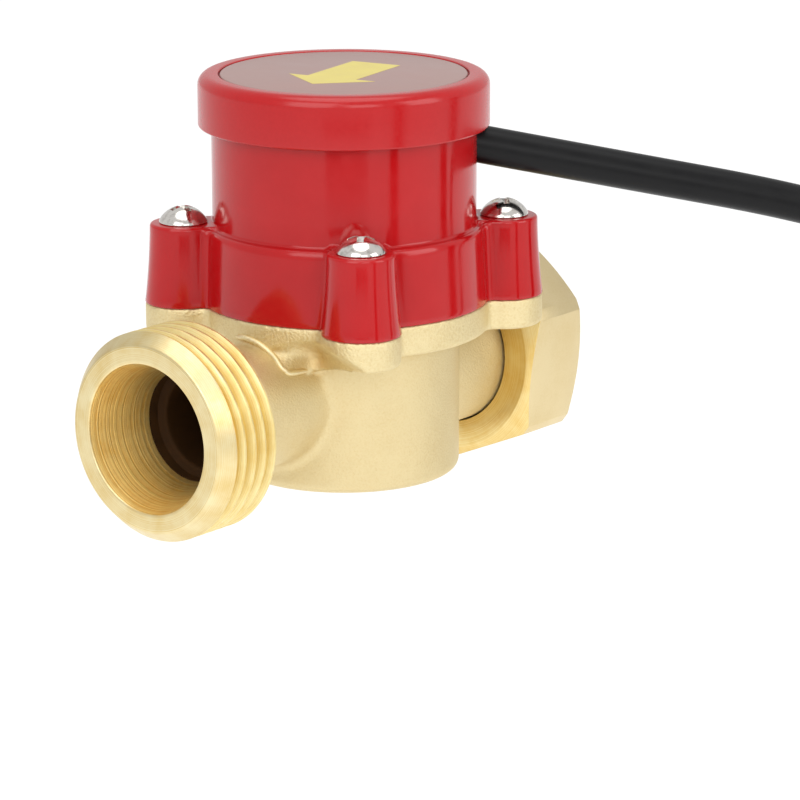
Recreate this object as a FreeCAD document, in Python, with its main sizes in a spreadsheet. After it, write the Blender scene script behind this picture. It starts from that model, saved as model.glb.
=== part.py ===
import FreeCAD, Part
import math
import os

import Sketcher
from FreeCAD import Placement, Rotation, Vector

# Water flow sensor: a brass globe body with a male outlet and a union nut at its inlet. Water lifts a
# magnet plunger, and a reed switch in the red housing above feels the magnet.
# Frame: the origin is the centre of the outlet's end face, X runs along the flow axis towards the inlet
# and Z is up. The tower axis stands at x = port_reach. Heights are measured from the flow axis.

driving_sizes = {
    # outlet port: a G1 male end
    "port_reach": 48.4,  # end face to tower axis
    "thread_radius": 16.62,
    "thread_length": 12.0,
    "port_chamfer": 2.25,
    "port_chamfer_rise": 1.82,
    "port_rim": 2.9,
    "bore_taper": 2.9,
    "bore_taper_depth": 10.8,
    "bore_land": 2.2,
    "throat_step": 1.5,
    "neck_wall": 2.5,
    "neck_fillet": 2.0,
    "collar_back": 3.0,
    # round chamber with the seat across its middle
    "chamber_radius": 18.57,
    "chamber_wall": 3.4,
    "base_cover": 2.13,  # base below the inlet neck
    "base_wall": 3.2,
    "base_fillet": 1.5,
    "seat_level": 1.0,
    "seat_thickness": 3.0,
    "seat_radius": 8.0,
    "passage_web": 2.3,
    # flange that carries the housing, flush with the housing's skirt
    "flange_cover": 1.28,  # top face above the inlet neck
    "flange_thickness": 5.0,
    "flange_fillet": 1.0,
    "lobe_inset": 0.05,
    "lobe_blend": 2.0,
    "seal_land": 1.23,
    "seal_thickness": 1.9,
    "seal_side_room": 0.25,
    # inlet neck and union nut
    "nut_thread_radius": 15.145,
    "nut_thread_length": 5.3,
    "nut_thread_gap": 0.2,
    "nut_mouth_chamfer": 1.2,
    "nut_relief_depth": 0.555,
    "nut_side_wall": 2.3,
    "nut_bevel": 1.1,
    "nut_face_inset": 0.95,
    "nut_near_slope": 0.42,
    "nut_far_slope": 0.6,
    "nut_wall": 2.6,
    "nut_gap": 1.585,  # screw bosses to nut
    "nut_shoulder": 2.745,
    "nut_clearance": 0.3,
    "nut_rest_angle": 7.0,
    "inlet_wall": 3.4,
    "ring_thickness": 1.5,
    "ring_width": 2.8,
    "ring_split": 3.0,
    "ring_play": 0.25,
    "ring_land": 1.3,
    "groove_depth": 0.8,
    "groove_room": 0.05,
    "gasket_thickness": 2.0,
    "gasket_clearance": 0.35,
    # plunger with its magnet
    "seat_overlap": 2.5,
    "disc_thickness": 2.5,
    "seat_gap": 0.2,
    "stem_radius": 5.0,
    "stem_length": 21.3,
    "stem_wall": 1.75,
    "plunger_travel": 7.0,
    "wing_depth": 4.0,
    "wing_thickness": 1.6,
    "wing_clearance": 0.3,
    "magnet_length": 12.0,
    "magnet_clearance": 0.05,
    "plug_thickness": 1.5,
    # red housing: tower, skirt, bosses and guide well
    "tower_radius": 21.3,
    "tower_wall": 2.0,
    "ledge_width": 1.4,
    "skirt_draft": 0.7,
    "skirt_height": 12.37,
    "skirt_fillet": 0.8,
    "boss_foot_radius": 6.33,
    "boss_draft": 0.93,
    "boss_rise": 0.6,
    "boss_fillet": 0.5,
    "floor_thickness": 3.3,
    "well_clearance": 0.1,
    "well_wall": 1.7,
    "well_end_room": 1.0,
    # lid and label
    "cap_lip": 42.13,
    "cap_top": 50.5,
    "cap_plate": 2.3,
    "cap_wall": 1.99,
    "cap_fit": 0.1,
    "cap_fillet": 1.8,
    "rim_width": 3.31,
    "label_thickness": 0.35,
    "label_inset": 0.33,
    "label_gap": 0.25,
    # M4 pan head screws
    "screw_radius": 2.0,
    "screw_end_gap": 0.5,
    "screw_hole_room": 0.25,
    "head_radius": 3.92,
    "head_height": 2.9,
    "head_edge": 0.5,
    "head_gap": 0.78,  # head to tower
    # switching circuit in the tower, in the frame that points along the lead's exit
    "exit_angle": -45.0,
    "board_thickness": 1.6,
    "board_side_room": 5.3,
    "board_edge": 2.08,  # above the soldered cores
    "potting_depth": 3.0,
    "reed_room": 2.9,  # well to board
    "reed_radius": 1.2,
    "reed_length": 14.0,
    "wire_radius": 0.3,
    "triac_width": 10.0,
    "triac_height": 9.0,
    "triac_depth": 4.5,
    "triac_tab_height": 6.0,
    "triac_tab_thickness": 1.3,
    "triac_hole_radius": 1.8,
    "triac_leg_length": 4.0,
    "triac_leg_width": 0.8,
    "triac_leg_pitch": 2.54,
    "capacitor_width": 5.5,
    "capacitor_depth": 6.0,
    "capacitor_height": 12.0,
    "resistor_radius": 1.25,
    "resistor_length": 6.5,
    "resistor_spacing": 3.2,
    "part_gap": 0.4,
    "part_room": 1.2,
    "wire_overrun": 1.6,
    # two-core lead
    "cable_radius": 3.1,
    "cable_hole_room": 0.05,
    "core_radius": 1.2,
    "core_spacing": 2.5,
    "core_lift": 2.0,
    "core_rise": 3.1,
    "core_spread": 4.8,
    "tail_length": 22.0,
    "tail_flare": 2.8,
    "strand_radius": 0.75,
    "strand_length": 7.0,
}

doc = FreeCAD.newDocument("water_flow_sensor")
sheet = doc.addObject("Spreadsheet::Sheet", "Sizes")
diagonal = math.sqrt(0.5)


class Size:
    """A size from the sheet, or one worked out from such sizes, with the expression that gives it."""

    def __init__(self, value, text):
        self.value = value
        self.text = text

    def __add__(self, other):
        return Size(self.value + number(other), f"({self.text} + {expression(other)})")

    def __sub__(self, other):
        return Size(self.value - number(other), f"({self.text} - {expression(other)})")

    def __mul__(self, other):
        return Size(self.value * number(other), f"({self.text} * {expression(other)})")

    def __truediv__(self, other):
        return Size(self.value / number(other), f"({self.text} / {expression(other)})")

    def __neg__(self):
        return Size(-self.value, f"(0 - {self.text})")


def number(item):
    return item.value if isinstance(item, Size) else float(item)


def expression(item):
    return item.text if isinstance(item, Size) else repr(float(item))


class Sizes:
    pass


s = Sizes()
for row, (name, value) in enumerate(driving_sizes.items(), start=1):
    sheet.set(f"A{row}", name)
    sheet.set(f"B{row}", str(value))
    sheet.setAlias(f"B{row}", name)
    setattr(s, name, Size(value, f"Sizes.{name}"))
doc.recompute()

# Sizes that several pieces share.
port_face_radius = s.thread_radius - s.port_chamfer_rise
port_bore_radius = port_face_radius - s.port_rim
bore_waist_radius = port_bore_radius - s.bore_taper
throat_radius = bore_waist_radius - s.throat_step
neck_radius = throat_radius + s.neck_wall
inlet_radius = s.nut_thread_radius - s.nut_shoulder
inlet_bore_radius = inlet_radius - s.inlet_wall
base_depth = inlet_radius + s.base_cover
cavity_radius = s.chamber_radius - s.chamber_wall
seat_bottom = s.seat_level - s.seat_thickness
passage_end = cavity_radius + s.passage_web

skirt_top_radius = s.tower_radius + s.ledge_width
skirt_radius = skirt_top_radius + s.skirt_draft
screw_circle = s.tower_radius + s.head_radius + s.head_gap
lobe_place = screw_circle * diagonal
lobe_radius = s.boss_foot_radius - s.lobe_inset
flange_top = inlet_radius + s.flange_cover
flange_bottom = flange_top - s.flange_thickness
seal_circle = cavity_radius + s.seal_land + s.seal_side_room + s.seal_thickness / 2

nut_start = lobe_place + s.boss_foot_radius + s.nut_gap
ring_start = nut_start + s.nut_wall + s.ring_play
groove_start = ring_start - s.groove_room
groove_end = ring_start + s.ring_thickness + s.groove_room
inlet_reach = groove_end + s.ring_land
nut_relief_radius = s.nut_thread_radius + s.nut_relief_depth
nut_flats = (nut_relief_radius + s.nut_side_wall) * 2
nut_face_radius = nut_flats / 2 - s.nut_face_inset
nut_relief_end = inlet_reach + s.gasket_thickness + s.nut_thread_gap - nut_start
nut_length = nut_relief_end + s.nut_thread_length + s.nut_mouth_chamfer

disc_radius = s.seat_radius + s.seat_overlap
disc_bottom = s.seat_level + s.seat_gap
disc_top = disc_bottom + s.disc_thickness
stem_top = disc_top + s.stem_length
magnet_radius = s.stem_radius - s.stem_wall - s.magnet_clearance
magnet_bottom = stem_top - s.plug_thickness - s.magnet_length
well_radius = s.stem_radius + s.well_clearance
well_outer = well_radius + s.well_wall
well_end = stem_top + s.plunger_travel + s.well_end_room
well_top = well_end + s.well_wall

floor_top = flange_top + s.floor_thickness
skirt_top = flange_top + s.skirt_height
boss_height = s.skirt_height + s.boss_rise
boss_top = flange_top + boss_height
boss_top_radius = s.boss_foot_radius - s.boss_draft
tower_bore = s.tower_radius - s.tower_wall
tower_top = s.cap_top - s.cap_plate
cap_radius = s.tower_radius + s.cap_fit + s.cap_wall
label_recess = cap_radius - s.rim_width
label_radius = label_recess - s.label_gap
label_floor = s.cap_top - s.label_inset - s.label_thickness
screw_length = boss_height + s.flange_thickness - s.screw_end_gap

board_offset = well_outer + s.reed_room
board_width = (tower_bore - s.board_side_room) * 2
resin_top = floor_top + s.potting_depth
part_base = resin_top + s.part_gap
part_side = well_outer + s.part_room
solder_level = well_top + s.core_radius + s.core_lift
board_height = solder_level + s.board_edge - floor_top


def bind(item, prop, size):
    item.setExpression(prop, expression(size))


def body_at(label, x=s.port_reach, y=0, z=0):
    """A body whose own frame stands at a place in the part's frame."""
    body = doc.addObject("PartDesign::Body", label)
    body.Label = label
    for axis, size in zip("xyz", (x, y, z)):
        bind(body, f"Placement.Base.{axis}", size)
    return body


def origin_feature(body, role):
    return next(item for item in body.Origin.OriginFeatures if item.Role == role)


def sketch_on(body, name, role, offset=0):
    sketch = body.newObject("Sketcher::SketchObject", name)
    sketch.AttachmentSupport = [(origin_feature(body, role), "")]
    sketch.MapMode = "FlatFace"
    bind(sketch, "AttachmentOffset.Base.z", offset)
    return sketch


def dimension(sketch, kind, size, *geometry):
    index = sketch.addConstraint(Sketcher.Constraint(kind, *geometry, number(size)))
    bind(sketch, f"Constraints[{index}]", size)


def fix_point(sketch, geometry, vertex, across, along):
    dimension(sketch, "DistanceX", across, -1, 1, geometry, vertex)
    dimension(sketch, "DistanceY", along, -1, 1, geometry, vertex)


def outline(sketch, points):
    """A closed outline of straight lines, with every corner bound to its sizes."""
    count = len(points)
    corners = [Vector(number(across), number(along), 0) for across, along in points]
    first = sketch.GeometryCount
    for i in range(count):
        sketch.addGeometry(Part.LineSegment(corners[i], corners[(i + 1) % count]))
    for i, (across, along) in enumerate(points):
        sketch.addConstraint(Sketcher.Constraint("Coincident", first + i, 2, first + (i + 1) % count, 1))
        fix_point(sketch, first + i, 1, across, along)
    return sketch


def circle(sketch, radius, across=0, along=0):
    centre = Vector(number(across), number(along), 0)
    index = sketch.addGeometry(Part.Circle(centre, Vector(0, 0, 1), number(radius)))
    fix_point(sketch, index, 3, across, along)
    dimension(sketch, "Radius", radius, index)
    return sketch


def round_segment(sketch, radius, level, above):
    """The part of a circle about the origin that lies above or below a level."""
    half = math.sqrt(number(radius) ** 2 - number(level) ** 2)
    start = math.atan2(number(level), half if above else -half)
    end = math.atan2(number(level), -half if above else half)
    if end < start:
        end += 2 * math.pi
    arc = Part.ArcOfCircle(Part.Circle(Vector(0, 0, 0), Vector(0, 0, 1), number(radius)), start, end)
    curve = sketch.addGeometry(arc)
    chord = sketch.addGeometry(Part.LineSegment(arc.EndPoint, arc.StartPoint))
    sketch.addConstraint(Sketcher.Constraint("Coincident", curve, 3, -1, 1))
    sketch.addConstraint(Sketcher.Constraint("Coincident", curve, 2, chord, 1))
    sketch.addConstraint(Sketcher.Constraint("Coincident", chord, 2, curve, 1))
    dimension(sketch, "Radius", radius, curve)
    dimension(sketch, "DistanceY", level, -1, 1, curve, 1)
    dimension(sketch, "DistanceY", level, -1, 1, curve, 2)
    return sketch


def pad(body, name, sketch, length):
    feature = body.newObject("PartDesign::Pad", name)
    feature.Profile = sketch
    bind(feature, "Length", length)
    return feature


def pocket(body, name, sketch, length):
    before = volume_of(body)
    feature = body.newObject("PartDesign::Pocket", name)
    feature.Profile = sketch
    bind(feature, "Length", length)
    return cut_made(body, feature, before)


def turn(body, name, sketch, axis="V_Axis"):
    feature = body.newObject("PartDesign::Revolution", name)
    feature.Profile = sketch
    feature.ReferenceAxis = (sketch, [axis])
    feature.Angle = 360
    return feature


def groove(body, name, sketch, axis="V_Axis"):
    before = volume_of(body)
    feature = body.newObject("PartDesign::Groove", name)
    feature.Profile = sketch
    feature.ReferenceAxis = (sketch, [axis])
    feature.Angle = 360
    return cut_made(body, feature, before)


def volume_of(body):
    doc.recompute()
    return body.Shape.Volume


def cut_made(body, feature, before):
    if volume_of(body) >= before:
        raise ValueError(f"{feature.Label} cuts nothing")
    return feature


def around_tower(body, name, feature, count=4):
    pattern = body.newObject("PartDesign::PolarPattern", name)
    pattern.Originals = [feature]
    pattern.Axis = (origin_feature(body, "Z_Axis"), [""])
    pattern.Angle = 360
    pattern.Occurrences = count
    body.Tip = pattern
    return pattern


def soften(body, name, kind, radius, test):
    """A fillet or chamfer on the edges of the body's last feature that pass a test."""
    doc.recompute()
    base = body.Tip
    names = [f"Edge{i}" for i, edge in enumerate(base.Shape.Edges, start=1) if test(edge)]
    if not names:
        raise ValueError(f"{name} finds no edge")
    feature = body.newObject(f"PartDesign::{kind}", name)
    feature.Base = (base, names)
    bind(feature, "Radius" if kind == "Fillet" else "Size", radius)
    return feature


def is_ring(edge, radius, height, tolerance=1e-4):
    """A whole or part circle of that radius at that height, in its body's own frame."""
    curve = edge.Curve
    return (
        isinstance(curve, Part.Circle)
        and abs(curve.Radius - number(radius)) < tolerance
        and abs(curve.Center.z - number(height)) < tolerance
    )


def middle_of(edge):
    return edge.valueAt((edge.FirstParameter + edge.LastParameter) / 2)


def runs_along(edge, direction):
    return abs(edge.tangentAt(edge.FirstParameter).dot(direction)) > 0.99


def make_valve_body():
    body = body_at("valve_body")
    start = -s.port_reach
    chamber = sketch_on(body, "chamber_outline", "XZ_Plane")
    outline(chamber, [
        (0, -base_depth),
        (s.chamber_radius, -base_depth),
        (s.chamber_radius, flange_top),
        (0, flange_top),
    ])
    turn(body, "chamber", chamber)
    soften(body, "base_edge", "Fillet", s.base_fillet, lambda e: is_ring(e, s.chamber_radius, -base_depth))

    flange = circle(sketch_on(body, "flange_outline", "XY_Plane", flange_bottom), skirt_radius)
    pad(body, "flange", flange, s.flange_thickness)
    lobe = sketch_on(body, "lobe_outline", "XY_Plane", flange_bottom)
    circle(lobe, lobe_radius, lobe_place, lobe_place)
    around_tower(body, "lobes", pad(body, "lobe", lobe, s.flange_thickness))

    def between_lobes(edge):
        middle = middle_of(edge)
        beside_lobe = abs(abs(middle.x) - abs(middle.y)) < 2 * number(lobe_radius)
        on_rim = abs(math.hypot(middle.x, middle.y) - number(skirt_radius)) < 1e-3
        return beside_lobe and on_rim and runs_along(edge, Vector(0, 0, 1))

    def under_rim(edge):
        middle = middle_of(edge)
        inside_rim = (number(s.chamber_radius) + number(skirt_radius)) / 2
        return abs(middle.z - number(flange_bottom)) < 1e-4 and math.hypot(middle.x, middle.y) > inside_rim

    soften(body, "lobe_corners", "Fillet", s.lobe_blend, between_lobes)
    soften(body, "flange_edge", "Fillet", s.flange_fillet, under_rim)

    port = sketch_on(body, "port_outline", "XZ_Plane")
    outline(port, [
        (start, 0),
        (start, port_face_radius),
        (start + s.port_chamfer, s.thread_radius),
        (start + s.thread_length, s.thread_radius),
        (start + s.thread_length + s.collar_back, neck_radius),
        (0, neck_radius),
        (0, 0),
    ])
    turn(body, "port", port, "H_Axis")

    def joins_chamber(edge):
        middle = middle_of(edge)
        on_chamber = abs(math.hypot(middle.x, middle.y) - number(s.chamber_radius)) < 1e-3
        return on_chamber and abs(math.hypot(middle.y, middle.z) - number(neck_radius)) < 1e-3

    soften(body, "neck_root", "Fillet", s.neck_fillet, joins_chamber)
    neck = sketch_on(body, "inlet_outline", "XZ_Plane")
    outline(neck, [(0, 0), (0, inlet_radius), (inlet_reach, inlet_radius), (inlet_reach, 0)])
    turn(body, "inlet_neck", neck, "H_Axis")

    cavity = sketch_on(body, "cavity_outline", "XZ_Plane")
    outline(cavity, [
        (0, s.base_wall - base_depth),
        (cavity_radius, s.base_wall - base_depth),
        (cavity_radius, seat_bottom),
        (s.seat_radius, seat_bottom),
        (s.seat_radius, s.seat_level),
        (cavity_radius, s.seat_level),
        (cavity_radius, flange_top),
        (0, flange_top),
    ])
    groove(body, "cavity", cavity)
    throat_start = start + s.bore_taper_depth + s.bore_land
    outlet_bore = sketch_on(body, "outlet_bore_outline", "XZ_Plane")
    outline(outlet_bore, [
        (start, 0),
        (start, port_bore_radius),
        (start + s.bore_taper_depth, bore_waist_radius),
        (throat_start, bore_waist_radius),
        (throat_start, throat_radius),
        (-passage_end, throat_radius),
        (-passage_end, 0),
    ])
    groove(body, "outlet_bore", outlet_bore, "H_Axis")
    inlet_bore = sketch_on(body, "inlet_bore_outline", "XZ_Plane")
    outline(inlet_bore, [
        (passage_end, 0),
        (passage_end, inlet_bore_radius),
        (inlet_reach, inlet_bore_radius),
        (inlet_reach, 0),
    ])
    groove(body, "inlet_bore", inlet_bore, "H_Axis")

    # The outlet opens above the seat and the inlet below it, so the water has to rise through the seat.
    reach = passage_end - s.seat_radius
    over = sketch_on(body, "outlet_link_outline", "YZ_Plane", -s.seat_radius)
    round_segment(over, throat_radius, s.seat_level, above=True)
    pocket(body, "outlet_link", over, reach)
    under = sketch_on(body, "inlet_link_outline", "YZ_Plane", passage_end)
    round_segment(under, inlet_bore_radius, seat_bottom, above=False)
    pocket(body, "inlet_link", under, reach)

    ring_groove = sketch_on(body, "ring_groove_outline", "XZ_Plane")
    outline(ring_groove, [
        (groove_start, inlet_radius - s.groove_depth),
        (groove_end, inlet_radius - s.groove_depth),
        (groove_end, inlet_radius + s.groove_depth),
        (groove_start, inlet_radius + s.groove_depth),
    ])
    groove(body, "ring_groove", ring_groove, "H_Axis")
    half_width = s.seal_thickness / 2 + s.seal_side_room
    seal_groove = sketch_on(body, "seal_groove_outline", "XZ_Plane")
    outline(seal_groove, [
        (seal_circle - half_width, flange_top - s.seal_thickness),
        (seal_circle + half_width, flange_top - s.seal_thickness),
        (seal_circle + half_width, flange_top),
        (seal_circle - half_width, flange_top),
    ])
    groove(body, "seal_groove", seal_groove)
    hole = sketch_on(body, "screw_hole_outline", "XY_Plane", flange_top)
    circle(hole, s.screw_radius, lobe_place, lobe_place)
    around_tower(body, "screw_holes", pocket(body, "screw_hole", hole, s.flange_thickness))
    return body


def make_union_nut():
    body = body_at("union_nut", s.port_reach + nut_start)
    body.Placement.Rotation = Rotation(Vector(1, 0, 0), 0)
    bind(body, "Placement.Rotation.Angle", s.nut_rest_angle)
    corners = []
    for i in range(6):
        angle = math.radians(30 + 60 * i)
        corner = nut_flats / math.sqrt(3)
        corners.append((corner * math.cos(angle), corner * math.sin(angle)))
    hexagon = outline(sketch_on(body, "hexagon", "YZ_Plane"), corners)
    pad(body, "hexagon_bar", hexagon, nut_length)
    soften(body, "corner_bevels", "Chamfer", s.nut_bevel, lambda e: runs_along(e, Vector(1, 0, 0)))
    beyond = nut_flats * 0.6
    slope_reach = beyond - nut_face_radius
    near_rise = slope_reach * s.nut_near_slope
    far_rise = nut_length - slope_reach * s.nut_far_slope
    for name, end, rise in (("near", 0, near_rise), ("far", nut_length, far_rise)):
        end_slope = sketch_on(body, f"{name}_slope_outline", "XZ_Plane")
        outline(end_slope, [(end, nut_face_radius), (end, beyond), (rise, beyond)])
        groove(body, f"{name}_slope", end_slope, "H_Axis")
    hole_radius = inlet_radius + s.nut_clearance
    bore = sketch_on(body, "nut_bore_outline", "XZ_Plane")
    outline(bore, [
        (0, 0),
        (0, hole_radius),
        (s.nut_wall, hole_radius),
        (s.nut_wall, nut_relief_radius),
        (nut_relief_end, nut_relief_radius),
        (nut_relief_end, s.nut_thread_radius),
        (nut_length - s.nut_mouth_chamfer, s.nut_thread_radius),
        (nut_length, s.nut_thread_radius + s.nut_mouth_chamfer),
        (nut_length, 0),
    ])
    groove(body, "nut_bore", bore, "H_Axis")
    return body


def make_retaining_ring():
    body = body_at("nut_retaining_ring", s.port_reach + ring_start)
    inner = inlet_radius - s.groove_depth
    ring = sketch_on(body, "ring_outline", "YZ_Plane")
    circle(ring, inner + s.ring_width)
    circle(ring, inner)
    pad(body, "ring", ring, s.ring_thickness)
    half = s.ring_split / 2
    split = sketch_on(body, "split_outline", "YZ_Plane", s.ring_thickness)
    outline(split, [(-half, 0), (half, 0), (half, inlet_radius * 2), (-half, inlet_radius * 2)])
    pocket(body, "split", split, s.ring_thickness)
    return body


def make_gasket():
    body = body_at("nut_gasket", s.port_reach + inlet_reach)
    washer = sketch_on(body, "washer_outline", "YZ_Plane")
    circle(washer, s.nut_thread_radius - s.gasket_clearance)
    circle(washer, inlet_bore_radius)
    pad(body, "washer", washer, s.gasket_thickness)
    return body


def make_cover_seal():
    ring = doc.addObject("Part::Torus", "cover_seal")
    bind(ring, "Radius1", seal_circle)
    bind(ring, "Radius2", s.seal_thickness / 2)
    bind(ring, "Placement.Base.x", s.port_reach)
    bind(ring, "Placement.Base.z", flange_top - s.seal_thickness / 2)
    return ring


def make_plunger():
    body = body_at("plunger")
    pocket_radius = magnet_radius + s.magnet_clearance
    profile = sketch_on(body, "plunger_outline", "XZ_Plane")
    outline(profile, [
        (0, disc_bottom),
        (disc_radius, disc_bottom),
        (disc_radius, disc_top),
        (s.stem_radius, disc_top),
        (s.stem_radius, stem_top),
        (pocket_radius, stem_top),
        (pocket_radius, magnet_bottom),
        (0, magnet_bottom),
    ])
    turn(body, "disc_and_stem", profile)
    half = s.wing_thickness / 2
    reach = s.seat_radius - s.wing_clearance
    wing = sketch_on(body, "wing_outline", "XY_Plane", disc_bottom - s.wing_depth)
    outline(wing, [(0, -half), (reach, -half), (reach, half), (0, half)])
    around_tower(body, "wings", pad(body, "wing", wing, s.wing_depth), count=3)
    return body


def make_rod(label, radius, height, bottom):
    rod = doc.addObject("Part::Cylinder", label)
    bind(rod, "Radius", radius)
    bind(rod, "Height", height)
    bind(rod, "Placement.Base.x", s.port_reach)
    bind(rod, "Placement.Base.z", bottom)
    return rod


def make_housing():
    body = body_at("sensor_housing")
    shell = sketch_on(body, "shell_outline", "XZ_Plane")
    outline(shell, [
        (0, flange_top),
        (skirt_radius, flange_top),
        (skirt_top_radius, skirt_top),
        (s.tower_radius, skirt_top),
        (s.tower_radius, tower_top),
        (0, tower_top),
    ])
    turn(body, "shell", shell)
    soften(body, "skirt_edge", "Fillet", s.skirt_fillet, lambda e: is_ring(e, skirt_top_radius, skirt_top))
    boss = body.newObject("PartDesign::AdditiveCone", "boss")
    bind(boss, "Radius1", s.boss_foot_radius)
    bind(boss, "Radius2", boss_top_radius)
    bind(boss, "Height", boss_height)
    bind(boss, "Placement.Base.x", lobe_place)
    bind(boss, "Placement.Base.y", lobe_place)
    bind(boss, "Placement.Base.z", flange_top)
    around_tower(body, "bosses", boss)
    soften(body, "boss_edges", "Fillet", s.boss_fillet, lambda e: is_ring(e, boss_top_radius, boss_top))

    room = sketch_on(body, "tower_room_outline", "XZ_Plane")
    outline(room, [
        (well_outer, floor_top),
        (tower_bore, floor_top),
        (tower_bore, tower_top),
        (0, tower_top),
        (0, well_top),
        (well_outer, well_top),
    ])
    groove(body, "tower_room", room)
    well = sketch_on(body, "well_outline", "XZ_Plane")
    outline(well, [(0, flange_top), (well_radius, flange_top), (well_radius, well_end), (0, well_end)])
    groove(body, "well", well)
    hole = sketch_on(body, "boss_hole_outline", "XY_Plane", boss_top)
    circle(hole, s.screw_radius + s.screw_hole_room, lobe_place, lobe_place)
    around_tower(body, "boss_holes", pocket(body, "boss_hole", hole, boss_height))

    before = volume_of(body)
    exit_hole = body.newObject("PartDesign::SubtractiveCylinder", "cable_hole")
    bind(exit_hole, "Radius", s.cable_radius + s.cable_hole_room)
    inside, outside = cable_route[0], cable_route[1]
    exit_hole.Height = (outside - inside).Length
    turned = Rotation(Vector(0, 0, 1), number(s.exit_angle))
    to_lead = Rotation(Vector(0, 0, 1), outside - inside)
    exit_hole.Placement = Placement(turned.multVec(inside), turned.multiply(to_lead))
    cut_made(body, exit_hole, before)
    return body


def make_cap():
    body = body_at("top_cap")
    bore = s.tower_radius + s.cap_fit
    profile = sketch_on(body, "cap_outline", "XZ_Plane")
    outline(profile, [
        (0, tower_top),
        (bore, tower_top),
        (bore, s.cap_lip),
        (cap_radius, s.cap_lip),
        (cap_radius, s.cap_top),
        (label_recess, s.cap_top),
        (label_recess, label_floor),
        (0, label_floor),
    ])
    turn(body, "cap", profile)
    soften(body, "cap_edge", "Fillet", s.cap_fillet, lambda e: is_ring(e, cap_radius, s.cap_top))
    return body


def make_screw(label, angle):
    place = Rotation(Vector(0, 0, 1), angle).multVec(Vector(1, 0, 0))
    body = body_at(label, s.port_reach + screw_circle * place.x, screw_circle * place.y, boss_top)
    profile = sketch_on(body, f"{label}_outline", "XZ_Plane")
    outline(profile, [
        (0, -screw_length),
        (s.screw_radius, -screw_length),
        (s.screw_radius, 0),
        (s.head_radius, 0),
        (s.head_radius, s.head_height),
        (0, s.head_height),
    ])
    turn(body, f"{label}_blank", profile)
    dome = s.head_height - s.head_edge
    soften(body, f"{label}_dome", "Fillet", dome, lambda e: is_ring(e, s.head_radius, s.head_height))
    return body


def lead_frame():
    """The frame on the tower axis whose X points the way the lead comes out."""
    return Placement(Vector(number(s.port_reach), 0, 0), Rotation(Vector(0, 0, 1), number(s.exit_angle)))


def in_lead_frame(item, x, y, z):
    item.Placement = lead_frame().multiply(Placement(Vector(number(x), number(y), number(z)), Rotation()))
    return item


def solid_feature(label, shape):
    item = doc.addObject("Part::Feature", label)
    item.Shape = shape
    item.Placement = lead_frame()
    return item


def tube(points, radius, label=None):
    """A round tube along straight runs joined by tangent arcs, each as large as its two runs allow."""
    runs = [b - a for a, b in zip(points, points[1:])]
    edges = []
    radii = []
    here = points[0]
    for i, corner in enumerate(points[1:-1]):
        before, after = runs[i], runs[i + 1]
        half_turn = before.getAngle(after) / 2
        setback = 0.45 * min(before.Length, after.Length)
        bend = setback / math.tan(half_turn)
        into = corner - before.normalize() * setback
        out = corner + Vector(after).normalize() * setback
        bulge = bend / math.cos(half_turn) - bend
        middle = corner + ((into + out) * 0.5 - corner).normalize() * bulge
        edges += [Part.LineSegment(here, into).toShape(), Part.Arc(into, middle, out).toShape()]
        radii.append(bend)
        here = out
    edges.append(Part.LineSegment(here, points[-1]).toShape())
    path = Part.Wire(edges)
    direction = edges[0].tangentAt(edges[0].FirstParameter)
    ring = Part.Wire([Part.Circle(points[0], direction, radius).toShape()])
    shape = path.makePipeShell([ring], True, False)
    expected = math.pi * radius**2 * path.Length
    if abs(shape.Volume - expected) > 0.002 * expected:
        raise ValueError(f"{label or 'tube'}: volume {shape.Volume:.1f}, expected {expected:.1f}")
    if label:
        print(label, f"length {path.Length:.1f} mm, bend radii", [round(bend, 1) for bend in radii])
    return shape


# The lead's route in its own frame: straight out under the lid's lip with a slight droop, as the picture
# shows it, then over and down by its own weight.
cable_route = [
    Vector(12.5, 0, 40.3),
    Vector(40.0, 0, 34.55),
    Vector(78.0, 0.3, 26.75),
    Vector(99.5, 1.2, 18.6),
    Vector(114.0, 2.6, 2.4),
    Vector(121.0, 4.2, -19.5),
    Vector(122.4, 5.8, -44.5),
    Vector(121.7, 7.0, -70.0),
    Vector(120.4, 7.9, -100.0),
    Vector(118.4, 8.3, -128.0),
    Vector(115.8, 8.3, -154.0),
]


def make_board():
    board = doc.addObject("Part::Box", "circuit_board")
    bind(board, "Length", s.board_thickness)
    bind(board, "Width", board_width)
    bind(board, "Height", board_height)
    return in_lead_frame(board, -board_offset - s.board_thickness, board_width / -2, floor_top)


def make_potting(board):
    pour = make_rod("potting_pour", tower_bore, s.potting_depth, floor_top)
    well = make_rod("potting_well", well_outer, s.potting_depth, floor_top)
    around_well = doc.addObject("Part::Cut", "potting_around_well")
    around_well.Base = pour
    around_well.Tool = well
    resin = doc.addObject("Part::Cut", "potting_resin")
    resin.Base = around_well
    resin.Tool = board
    return resin


wire_low = number(part_base + s.wire_radius)


def looped_wire(face, axis, side, length):
    """A wire that leaves the board, runs up through a component and comes back to the board."""
    high = wire_low + length + 2 * number(s.wire_overrun)
    corners = [(face, wire_low), (axis, wire_low), (axis, high), (face, high)]
    points = [Vector(x, side, z) for x, z in corners]
    return tube(points, number(s.wire_radius))


def make_reed():
    face = -number(board_offset)
    axis = (face - number(well_outer)) / 2
    radius, length = number(s.reed_radius), number(s.reed_length)
    bottom = wire_low + number(s.wire_overrun)
    glass = Part.makeCylinder(radius, length, Vector(axis, 0, bottom))
    rims = [edge for edge in glass.Edges if isinstance(edge.Curve, Part.Circle)]
    glass = glass.makeFillet(radius * 0.6, rims)
    wire = looped_wire(face, axis, 0, length)
    return [solid_feature("reed_glass", glass), solid_feature("reed_leads", wire.cut(glass))]


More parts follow.
